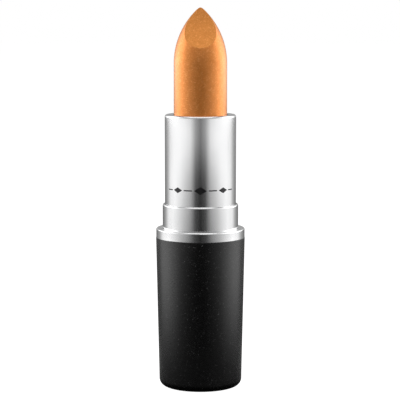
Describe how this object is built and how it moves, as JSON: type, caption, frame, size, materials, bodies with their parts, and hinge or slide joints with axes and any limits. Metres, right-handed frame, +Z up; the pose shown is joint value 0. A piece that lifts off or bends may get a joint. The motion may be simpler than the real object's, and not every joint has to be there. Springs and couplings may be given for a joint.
{
  "type": "swivel lipstick",
  "caption": "Swivel-up lipstick with a slanted bullet, a bright turning sleeve and collar, and a round tapered black base; its cap is off.",
  "frame": {"origin": "centre of the round foot that the base stands on", "axes": "+Z up along the lipstick's axis, towards its tip; the slanted face of the lipstick looks along -Y"},
  "size_m": [0.0202, 0.0202, 0.0865],
  "materials": {
    "black_plastic": "black, fine sparkle texture, satin",
    "label_paper": "plain coated paper",
    "weight_steel": "plain turned steel",
    "inner_plastic": "natural moulded acetal",
    "bright_aluminium": "bright anodised, satin",
    "ring_rubber": "greased rubber",
    "cam_plastic": "moulded, slightly glossy",
    "pigmented_wax": "pearly copper lipstick wax"
  },
  "bodies": {
    "base": {"base_shell": "black_plastic", "bottom_label": "label_paper", "base_weight": "weight_steel", "base_insert": "inner_plastic", "base_ring": "bright_aluminium", "collar": "bright_aluminium", "guide_tube": "inner_plastic", "friction_ring": "ring_rubber"},
    "sleeve": {"outer_sleeve": "bright_aluminium", "cam_sleeve": "cam_plastic"},
    "carrier": {"carrier_cup": "cam_plastic", "lipstick_bullet": "pigmented_wax"}
  },
  "joints": [
    {"name": "carrier_lift", "type": "slide", "parent": "base", "child": "carrier", "axis": [0, 0, 1], "range_m": [-0.026, 0]},
    {"name": "sleeve_twist", "type": "hinge", "parent": "base", "child": "sleeve", "pos_m": [0, 0, 0.05], "axis": [0, 0, 1], "range_deg": [0, 540]}
  ],
  "couplings": [
    {"joint": "sleeve_twist", "follows": "carrier_lift", "rad_per_m": -362.49}
  ]
}
